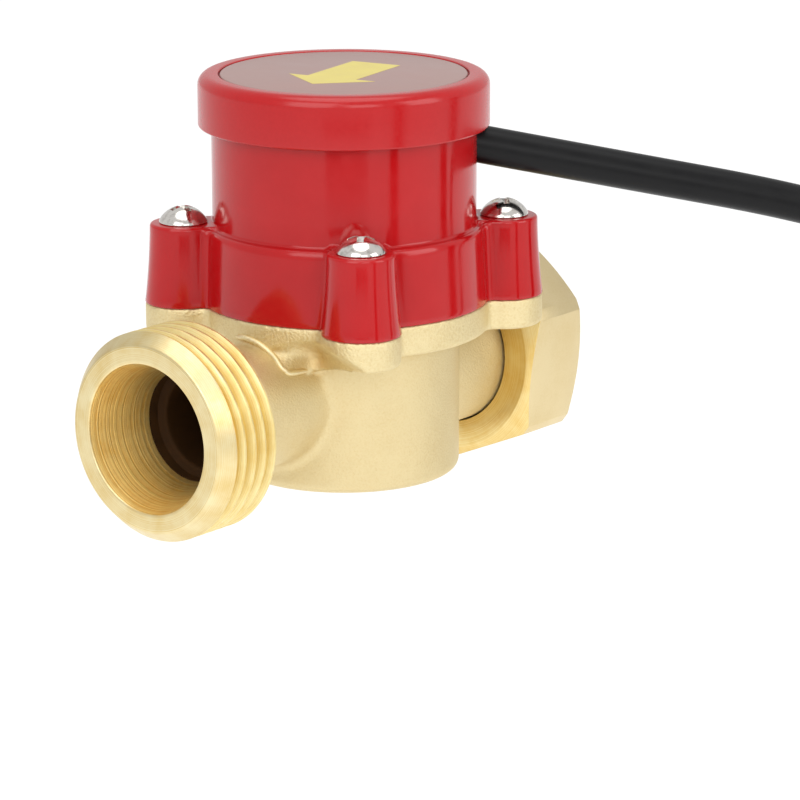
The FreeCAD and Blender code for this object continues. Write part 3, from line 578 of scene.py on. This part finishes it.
def portRadius(along, turn):
    rise = (port["crest"] - port["face"]) / port["chamfer"]
    drop = max(0, threadDrop(along - port["phase"] - port["pitch"] * turn / (2 * math.pi)) - port["flat"])
    drop *= smoothStep(port["chamfer"] - port["edge"], port["chamfer"] + port["fadeIn"], along)
    outer = min(port["crest"] - drop, port["face"] + rise * along)
    run = smoothStep(port["threadEnd"], port["threadEnd"] + port["runOut"], along)
    return outer + (port["relief"] - outer) * run


def portSlot(middle):  # which of the port's materials a face with this middle has
    # inside the mouth: the bored brass with painted light, and past the taper the painted shade of the
    # throat
    if math.hypot(middle.y, middle.z) < port["mouth"] and middle.x > port["boreFrom"]:
        return 1 if middle.x < port["taper"] else 2
    if middle.x > port["chamfer"]:
        return 3 if middle.x < port["dullFrom"] else 4
    return 0


def makePort():
    segments, edge, front, mouth, taper = (
        port[key] for key in ("segments", "edge", "face", "mouth", "taper"))
    length = port["rear"] - edge
    rows = round(length / port["step"])
    rings = []
    for row in range(rows + 1):
        along = port["rear"] - length * row / rows
        rings.append(flowRing(along, [portRadius(along, turn) for turn in turnsOf(segments)]))
    inside = [(back, front - inset) for back, inset in port["rim"]]
    for step in range(1, port["faceRings"] + 1):
        inside.append((0, front + (mouth + edge - front) * step / port["faceRings"]))
    inside.append((port["mouthRound"], mouth + port["mouthRound"]))
    for step in range(port["boreRings"] + 1):
        along = edge + (taper - edge) * step / port["boreRings"]
        inside.append((along, mouth - (mouth - port["waist"]) / taper * along))
    inside += [(port["sleeve"], port["sleeveBore"]), (port["sleeve"], port["rearBore"]),
               (port["rear"], port["rearBore"])]
    rings += [flowRing(along, [radius] * segments) for along, radius in inside]
    piece = addObject("threaded_port", loftMesh("threaded_port", rings, ends="loop"), "sensor",
                      "machined_brass")
    setMaterials(piece, brassTurned, boredBrassPaintedLight, throatPaintedShade, brassThread, brassCast)
    for face in piece.data.polygons:
        face.material_index = portSlot(face.center / mm)
    shadeSmooth(piece, port["crease"])


makePort()
print("threaded port made")


# Casting: the rest of the brass body, with a sand casting's soft edges
casting = {
    "front": -1, "cut": 12.4, "side": 40, "voxel": 0.36, "soften": 5, "softShare": 0.5, "flange": 5.1,
    # radius of the pipe, then radius and floor of the chamber and how far below the flange's top it ends:
    # the faces inside take the painted shade
    "pipe": 9.4, "chamber": 15.6, "chamberFloor": -12, "landing": 0.2,
    "depth": 6.5, "reach": 5.0, "hollow": 0.36, "webSteps": 6,
    # where the hollow web beside the front lobe starts on the flange or the lobe, and where it ends
    "web": [((25.36, -3.44, 9.9), (25.4, -3.4, 9.4)), ((25.53, -4.45, 10.1), (25.15, -4.7, 8.8)),
            ((25.7, -5.24, 10.4), (24.75, -5.9, 8.05)), ((25.89, -6.03, 10.8), (24.7, -6.7, 7.4)),
            ((26.18, -7.01, 11.2), (25.25, -7.5, 6.6)), ((26.58, -8.16, 11.6), (27.0, -7.65, 6.45)),
            ((27.2, -9.66, 11.8), (28.6, -7.9, 6.35)), ((27.4, -11.0, 11.9), (29.5, -8.7, 6.25)),
            ((26.7, -12.4, 12.0), (29.9, -10.0, 6.3)), ((25.6, -13.9, 12.1), (29.8, -11.4, 6.6)),
            ((24.6, -15.5, 12.1), (29.3, -12.9, 7.0)), ((23.8, -17.4, 11.8), (28.2, -14.6, 7.5)),
            ((23.75, -18.62, 11.5), (27.3, -16.4, 7.9)), ((24.01, -20.2, 10.9), (26.7, -18.5, 8.2)),
            ((24.58, -21.52, 10.2), (26.4, -20.4, 8.4)), ((25.3, -22.52, 9.5), (26.4, -21.8, 8.5))],
    # middle and radius of the raised line that the mould's joint left below the flange
    "seam": [(26.6, 5.2, 10.6, 0.1), (25.6, 3.55, 10.9, 0.3), (25.05, 1.9, 11.09, 0.5),
             (25.0, 0.6, 11.05, 0.5), (25.02, -1.3, 10.7, 0.5), (25.17, -2.9, 9.95, 0.5),
             (25.25, -3.8, 9.3, 0.5), (25.05, -4.9, 8.75, 0.5), (24.65, -6.0, 8.0, 0.5),
             (24.6, -6.75, 7.35, 0.5), (25.15, -7.55, 6.62, 0.5), (27.0, -7.7, 6.45, 0.5),
             (29.2, -7.8, 6.35, 0.4), (31.2, -8.3, 6.05, 0.1)],
    "seamAround": 6,
}


def seamMesh():
    points = [Vector(place[:3]) * mm for place in casting["seam"]]
    curve = nurbsBar("seam", 1.0, casting["seamAround"], points)
    for point, place in zip(curve.splines[0].points, casting["seam"]):
        point.radius = place[3]
    line = newObject("seam", curve)
    mesh = finishedMesh(line)
    bpy.data.objects.remove(line)
    rework(mesh, mergePoints)
    return mesh


def webMeshes():  # what is cut from in front of the web's hollow face, and what fills in behind it
    cuts, fills = [], []
    steps = casting["webSteps"]
    for start, end in casting["web"]:
        start, end = Vector(start), Vector(end)
        inward = (Vector((towerX, 0, 0)) - Vector((start.x, start.y, 0))).normalized()
        bow = inward * casting["hollow"] * (end - start).length
        face = [start.lerp(end, step / steps) + bow * math.sin(math.pi * step / steps)
                for step in range(steps + 1)]
        away, deep = -inward * casting["reach"], inward * casting["depth"]
        cuts.append([start + away, *face, end + away])
        fills.append([start + deep, *face, end + deep])
    return loftMesh("web_cut", cuts), loftMesh("web_fill", fills)


def castSlot(middle):  # which of the casting's materials a face with this middle has
    fromTower = math.hypot(middle.x - towerX, middle.y)
    inPipe = math.hypot(middle.y, middle.z) < casting["pipe"]
    inHeight = casting["chamberFloor"] < middle.z < flangeTop - casting["landing"]
    # faces inside the pipe and the chamber take the painted shade of the bore
    if inPipe or fromTower < casting["chamber"] and inHeight:
        return 1
    return 3 if middle.z > flangeTop - casting["flange"] else 0


def makeCasting():
    piece = addObject("cast_body", copyNode("valve_body"), "sensor", "cast_brass", "valve_body")
    front, cut, side = casting["front"], casting["cut"], casting["side"]
    corners = [(front, -side, -side), (cut, -side, -side), (cut, side, -side), (front, side, -side)]
    webCut, webFill = webMeshes()
    cutAway(piece, loftMesh("front", [corners, [(x, y, side) for x, y, z in corners]]), webCut)
    joinMesh(piece.data, webFill)
    skin = piece.modifiers.new("skin", "REMESH")
    skin.mode, skin.voxel_size = "VOXEL", casting["voxel"] * mm
    soft = piece.modifiers.new("soft", "SMOOTH")
    soft.factor, soft.iterations = casting["softShare"], casting["soften"]
    replaceMesh(piece)
    seamStart = len(piece.data.polygons)
    joinMesh(piece.data, seamMesh())
    setMaterials(piece, brassCast, throatPaintedShade, seamBrassPaintedHighlight, brassRim)
    for face in piece.data.polygons:
        face.material_index = castSlot(face.center / mm) if face.index < seamStart else 2
    piece.data.shade_smooth()


makeCasting()
print("casting made")


# Union nut: milled hexagon with a thread inside
nut = {
    "flatAngle": 0.5, "bevel": 0.15, "bevelSteps": 2, "bevelFrom": 20, "bore": 16.7, "turnedTilt": 0.25,
    "tapStart": 82.2, "tapEnd": 89.3, "leadIn": 82.7, "fullAfter": 0.8, "core": 15.0, "deeper": 1.06,
    "step": 0.13, "segments": 216, "crease": 25,
}


def joinFlats(bm):  # makes one face of what lies in one plane
    bmesh.ops.dissolve_limit(bm, angle_limit=math.radians(nut["flatAngle"]), verts=bm.verts, edges=bm.edges)


def tapMesh():  # what the tap takes out of the nut's bore
    length = nut["tapEnd"] - nut["tapStart"]
    rows = round(length / nut["step"])
    rings = []
    for row in range(rows + 1):
        along = nut["tapStart"] + length * row / rows
        grown = smoothStep(nut["leadIn"], nut["leadIn"] + nut["fullAfter"], along)
        radii = []
        for turn in turnsOf(nut["segments"]):
            full = port["crest"] - nut["deeper"] * threadDrop(along - port["pitch"] * turn / (2 * math.pi))
            radii.append(nut["core"] + (full - nut["core"]) * grown)
        rings.append(flowRing(along, radii))
    return loftMesh("tap", rings)


def makeNut():
    piece = addObject("hex_union_nut", copyNode("union_nut"), "nut", "machined_brass", "union_nut")
    rework(piece.data, joinFlats)
    edges = piece.modifiers.new("edges", "BEVEL")
    edges.width, edges.segments, edges.limit_method = nut["bevel"] * mm, nut["bevelSteps"], "ANGLE"
    edges.angle_limit = math.radians(nut["bevelFrom"])
    replaceMesh(piece)
    cutAway(piece, tapMesh())
    rework(piece.data, clearSlivers)
    setMaterials(piece, brassMilled, coneBrassPaintedReflection)
    for face in piece.data.polygons:
        middle = face.center / mm
        turned = abs(face.normal.x) > nut["turnedTilt"] or math.hypot(middle.y, middle.z) < nut["bore"]
        face.material_index = 1 if turned else 0
    shadeSmooth(piece, nut["crease"])


makeNut()
print("union nut made")


# Housing: tower, skirt and screw bosses in one moulding
housing = {
    "skirtFoot": 23.4, "skirtTop": 22.7, "skirtHeight": 12.37, "skirtRound": 0.8, "footRound": 0.25,
    "bossPlace": 26.0, "bossFoot": 6.33, "bossTop": 5.4, "bossRise": 0.6, "bossRound": 0.5, "flare": 1.7,
    "blend": 1.3, "blendEase": (0.1, 0.9), "tower": 21.3, "towerRound": 0.5,
    "towerLevels": (30.0, 34.0, 38.0, 42.0, 48.2), "floor": 3.3, "bore": 19.3, "boreTop": 60,
    "well": 5.1, "wellOuter": 6.8, "wellEnd": 33.0, "wellTop": 34.7, "hole": 2.25, "holeTop": 40, "below": 1,
    "leadRoom": 0.05, "leadReach": 20, "crease": 40,
    "skirtPoints": 34, "blendPoints": 9, "bossPoints": 30, "roomPoints": 160, "holePoints": 48,
    "leadPoints": 64, "footSteps": 3, "wallSteps": 13, "edgeSteps": 7, "ledgeSteps": 3, "towerSteps": 5,
}


def onCircle(angle, radius):
    return Vector((math.cos(angle), math.sin(angle))) * radius


def quarterBends(steps):  # the angles of a rounding, from its start to its end
    return [math.pi / 2 * step / steps for step in range(steps + 1)]


def housingOutline(skirt, boss, blend):  # plan outline: (point, share of boss, angle at the tower's foot)
    place = housing["bossPlace"]
    reach, away = skirt + blend, boss + blend
    aside = math.acos((reach**2 + place**2 - away**2) / (2 * reach * place))
    fromBoss = math.pi - math.acos((place**2 + away**2 - reach**2) / (2 * place * away))
    skirtArc = []
    for i in range(housing["skirtPoints"]):  # the arc that leads up to the boss
        angle = -math.pi / 2 + aside + (math.pi / 2 - 2 * aside) * i / housing["skirtPoints"]
        skirtArc.append((onCircle(angle, skirt), 0.0, angle))
    centre = onCircle(-aside, reach)
    toSkirt = math.atan2(-centre.y, -centre.x)
    toBoss = math.atan2(-centre.y, place - centre.x)
    sweep = (toBoss - toSkirt + math.pi) % (2 * math.pi) - math.pi
    hollow = []
    for i in range(housing["blendPoints"]):
        share = i / housing["blendPoints"]
        eased = smoothStep(*housing["blendEase"], share)
        hollow.append((centre + onCircle(toSkirt + sweep * share, blend), eased))
    lobe = list(hollow)
    for i in range(housing["bossPoints"] + 1):
        angle = -fromBoss + 2 * fromBoss * i / housing["bossPoints"]
        lobe.append((Vector((place, 0)) + onCircle(angle, boss), 1.0))
    lobe += [(Vector((point.x, -point.y)), share) for point, share in hollow[:0:-1]]
    lengths = [0.0]
    for (before, _), (after, _) in zip(lobe, lobe[1:]):
        lengths.append(lengths[-1] + (after - before).length)
    whole = lengths[-1] + (lobe[1][0] - lobe[0][0]).length
    quarter = skirtArc + [(point, share, aside * (2 * length / whole - 1))
                          for (point, share), length in zip(lobe, lengths)]
    outline = []
    for turn in range(4):
        axis = math.pi / 4 + turn * math.pi / 2
        outline += [(Matrix.Rotation(axis, 2) @ point, share, aim + axis) for point, share, aim in quarter]
    return outline


def outlineAt(level, inset):  # the outline at a height above the flange, drawn in by an inset
    climb = min(1, max(0, level / housing["skirtHeight"]))
    skirt = housing["skirtFoot"] + (housing["skirtTop"] - housing["skirtFoot"]) * climb
    boss = housing["bossTop"] + (housing["bossFoot"] - housing["bossTop"]) * (1 - climb)**housing["flare"]
    return housingOutline(skirt - inset, boss - inset, housing["blend"] + inset)


def skirtRings():  # the foot's rounding, the wall and the upper edge of skirt and bosses
    height, foot, edge = housing["skirtHeight"], housing["footRound"], housing["skirtRound"]
    rings = []
    for bend in quarterBends(housing["footSteps"]):
        lift = foot * (1 - math.cos(bend))
        rings.append([(point.x, point.y, flangeTop + lift)
                      for point, share, aim in outlineAt(0, foot * (1 - math.sin(bend)))])
    for step in range(1, housing["wallSteps"] + 1):
        level = foot + (height - edge - foot) * step / housing["wallSteps"]
        extra = (housing["bossRise"] + edge - housing["bossRound"]) * step / housing["wallSteps"]
        rings.append([(point.x, point.y, flangeTop + level + extra * share)
                      for point, share, aim in outlineAt(level, 0)])
    wide, narrow = outlineAt(height, 0), outlineAt(height, edge)
    for bend in quarterBends(housing["edgeSteps"])[1:]:
        ring = []
        for (outer, share, aim), (inner, _, _) in zip(wide, narrow):
            small = edge + (housing["bossRound"] - edge) * share
            point = outer.lerp(inner, small * (1 - math.cos(bend)) / edge)
            top = flangeTop + height + housing["bossRise"] * share
            ring.append((point.x, point.y, top - small * (1 - math.sin(bend))))
        rings.append(ring)
    return rings, [aim for point, share, aim in narrow]


def towerRings(rim, aims):  # the ledge inside the skirt's edge, the tower's rounded foot and its wall
    def ringAt(radius, lift):
        spots = [onCircle(aim, radius) for aim in aims]
        return [(spot.x, spot.y, z + lift) for spot, (x, y, z) in zip(spots, rim)]

    tower, small = housing["tower"], housing["towerRound"]
    foot = ringAt(tower + small, 0)
    rings = []
    for step in range(1, housing["ledgeSteps"]):
        rings.append([tuple(Vector(start).lerp(Vector(end), step / housing["ledgeSteps"]))
                      for start, end in zip(rim, foot)])
    for bend in quarterBends(housing["towerSteps"]):
        rings.append(ringAt(tower + small * (1 - math.sin(bend)), small * (1 - math.cos(bend))))
    for level in housing["towerLevels"]:
        rings.append([(x, y, level) for x, y, z in rings[-1]])
    return rings


def plugMesh(name, radius, low, high, place, segments):  # a round bar that cuts a hole
    return turnedMesh(name, [(0, low), (radius, low), (radius, high), (0, high)], place, segments)


def housingCutters():
    floor, below = flangeTop + housing["floor"], flangeTop - housing["below"]
    post, postTop, bore, boreTop = (housing[key] for key in ("wellOuter", "wellTop", "bore", "boreTop"))
    room = [(0, postTop), (post, postTop), (post, floor), (bore, floor), (bore, boreTop), (0, boreTop)]
    points = housing["roomPoints"]
    cutters = [turnedMesh("room", room, towerPlace, points),
               plugMesh("well", housing["well"], below, housing["wellEnd"], towerPlace, points)]
    for quarter in range(4):
        spot = onCircle(math.radians(45 + 90 * quarter), housing["bossPlace"])
        place = towerPlace @ Matrix.Translation(spot.to_3d() * mm)
        cutters.append(plugMesh("hole", housing["hole"], below, housing["holeTop"], place,
                                housing["holePoints"]))
    inside, outside = (Vector(point) for point in lead["route"][:2])
    aim = (outside - inside).to_track_quat("Z", "Y").to_matrix().to_4x4()
    cutters.append(plugMesh("lead_hole", lead["diameter"] / 2 + housing["leadRoom"], 0, housing["leadReach"],
                            leadPlace @ Matrix.Translation(inside * mm) @ aim, housing["leadPoints"]))
    return cutters


def makeHousing():
    rings, aims = skirtRings()
    rings += towerRings(rings[-1], aims)
    piece = addObject("red_housing", loftMesh("red_housing", rings, towerPlace), "sensor", "red_plastic",
                      "sensor_housing")
    cutAway(piece, *housingCutters())
    rework(piece.data, clearSlivers)
    setMaterials(piece, redAbs)
    shadeSmooth(piece, housing["crease"])


makeHousing()
print("housing made")


# Lid, label and flow arrow
lid = {"radius": 23.39, "lip": 42.13, "top": 50.5, "plate": 48.2, "bore": 21.4, "round": 1.8,
       "lipRound": 0.35, "recess": 20.08, "recessFloor": 49.82, "recessRound": 0.25, "roundSteps": 8,
       "segments": 220, "crease": 40}
label = {"radius": 19.83, "floor": 49.82, "top": 50.42, "round": 0.25, "roundSteps": 4}
arrow = {"length": 21.2, "shaft": 8.7, "head": 15.5, "headLength": 6.3, "turn": 190.5, "place": (-0.7, -0.8),
         "ink": 0.03}


def makeDisc(name, profile, slot, node, material):  # a turned piece on the tower's axis
    mesh = turnedMesh(name, profile, towerPlace, lid["segments"])
    piece = addObject(name, mesh, "sensor", slot, node)
    setMaterials(piece, material)
    shadeSmooth(piece, lid["crease"])


def makeLid():
    corners = [(0, lid["recessFloor"], 0), (lid["recess"], lid["recessFloor"], 0),
               (lid["recess"], lid["top"], lid["recessRound"]), (lid["radius"], lid["top"], lid["round"]),
               (lid["radius"], lid["lip"], lid["lipRound"]), (lid["bore"], lid["lip"], lid["lipRound"]),
               (lid["bore"], lid["plate"], 0), (0, lid["plate"], 0)]
    makeDisc("red_lid", rounded(corners, lid["roundSteps"]), "red_plastic", "top_cap", redSatin)


def makeLabel():
    corners = [(0, label["floor"], 0), (label["radius"], label["floor"], 0),
               (label["radius"], label["top"], label["round"]), (0, label["top"], 0)]
    makeDisc("label_film_disc", rounded(corners, label["roundSteps"]), "label_film", "label_disc", filmLabel)


def makeArrow():
    half, shaft, head = arrow["length"] / 2, arrow["shaft"] / 2, arrow["head"] / 2
    neck = half - arrow["headLength"]
    outline = [(-half, -shaft), (neck, -shaft), (neck, -head), (half, 0), (neck, head), (neck, shaft),
               (-half, shaft)]
    place = towerPlace @ Matrix.Translation(Vector((*arrow["place"], 0)) * mm) @ Matrix.Rotation(
        math.radians(arrow["turn"]), 4, "Z")
    rings = [[(x, y, label["top"] + lift) for x, y in outline] for lift in (-arrow["ink"], arrow["ink"])]
    piece = addObject("flow_arrow", loftMesh("flow_arrow", rings, place), "sensor", "label_film")
    setMaterials(piece, inkYellow)


makeLid()
makeLabel()
makeArrow()
print("lid and label made")


# Cover screws: domed heads with a cross recess
screw = {"head": 3.92, "rim": 0.15, "edge": 0.3, "height": 2.7, "seat": 2.9, "shank": 2.0, "length": 17.97,
         "point": (0.4, 0.5), "slot": (5.2, 1.2), "slotFoot": (2.4, 0.7), "slotDepth": 1.9, "slotOver": 0.2,
         "turns": (22, 68, 35, 50), "domeSteps": 12, "segments": 72, "crease": 35}


def screwProfile():
    head, rim, shank, length, height = (screw[key] for key in ("head", "rim", "shank", "length", "height"))
    narrow, rise = screw["point"]
    profile = [(0, -length), (shank - narrow, -length), (shank, rise - length), (shank, 0), (head - rim, 0),
               (head, rim), (head, screw["edge"])]
    dome = height - screw["edge"]
    ball = (head**2 + dome**2) / (2 * dome)  # the dome is part of a ball
    for step in range(1, screw["domeSteps"] + 1):
        bend = math.asin(head / ball) * (1 - step / screw["domeSteps"])
        profile.append((ball * math.sin(bend), height - ball * (1 - math.cos(bend))))
    return profile


def makeScrew(number):
    node = f"cover_screw_{number + 1}"
    low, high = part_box(node)
    seat = high.z / mm - screw["seat"]
    place = Matrix.Translation(((low.x + high.x) / 2, (low.y + high.y) / 2, seat * mm)) @ Matrix.Rotation(
        math.radians(screw["turns"][number]), 4, "Z")
    mesh = turnedMesh("domed_screw", screwProfile(), place, screw["segments"])
    piece = addObject(f"domed_screw_{number + 1}", mesh, "sensor", "plated_steel", node)
    rings = []
    for (length, width), height in ((screw["slotFoot"], screw["height"] - screw["slotDepth"]),
                                    (screw["slot"], screw["height"] + screw["slotOver"])):
        rings.append([(length / 2, -width / 2, height), (length / 2, width / 2, height),
                      (-length / 2, width / 2, height), (-length / 2, -width / 2, height)])
    for cross in (0, 90):
        cutAway(piece, loftMesh("recess", rings, place @ Matrix.Rotation(math.radians(cross), 4, "Z")))
    rework(piece.data, clearSlivers)
    setMaterials(piece, screwPlate)
    shadeSmooth(piece, screw["crease"])


for number in range(4):
    makeScrew(number)
print("screws made")


# Finishes of the CAD nodes that stay as they are: two tones, roughness, size of the patches and relief
nodeFinishes = {
    "nut_retaining_ring": platedMetal("browned_spring_steel", "#5A4632", "#463524", 0.35, 1.0),  # dark, dull
    "nut_gasket": smoothSkin("moulded_nitrile_rubber", "#1C1C1D", "#141415", 0.6, 0.8, 0.03),  # matt black
    "plunger": smoothSkin("turned_white_acetal", "#EDECE7", "#E4E2DC", 0.38, 2.0, 0.01),  # waxy white
    "plunger_magnet": platedMetal("nickel_plated_magnet", "#CFCCC6", "#B4B0AA", 0.2, 1.5),  # silvery
    "circuit_board": smoothSkin("solder_masked_board", "#1E6B3A", "#185A30", 0.35, 1.5, 0.01),  # satin green
    "potting_resin": smoothSkin("poured_black_resin", "#17171A", "#101013", 0.2, 4.0, 0.02),  # glossy black
    "reed_glass": smoothSkin("tinted_sealing_glass", "#A9C7AD", "#93B498", 0.08, 2.0, 0.002),  # pale, bright
    "reed_leads": tinnedWire,
    "resistor_1": smoothSkin("lacquered_resistor", "#6FA3C4", "#5E93B5", 0.3, 0.8, 0.01),  # glossy blue
    "snubber_capacitor": smoothSkin("moulded_yellow_case", "#D2A233", "#C39426", 0.3, 1.5, 0.01),  # smooth
    "triac": smoothSkin("moulded_epoxy_case", "#2A2A2B", "#202021", 0.55, 0.5, 0.02),  # a fine matt grain
    "brown_tail": smoothSkin("extruded_brown_pvc", "#6B3F22", "#5E361C", 0.35, 2.0, 0.01),  # a soft sheen
    "blue_tail": smoothSkin("extruded_blue_pvc", "#2F62B0", "#2856A0", 0.35, 2.0, 0.01),  # a soft sheen
}
sameFinish = {"cover_seal": "nut_gasket", "plunger_plug": "plunger", "resistor_2": "resistor_1",
              "brown_lead": "brown_tail", "blue_lead": "blue_tail"}
for name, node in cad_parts.items():
    if not node.hide_render:
        setMaterials(node, nodeFinishes[sameFinish.get(name, name)])
print("node finishes set")

bpy.context.view_layer.update()
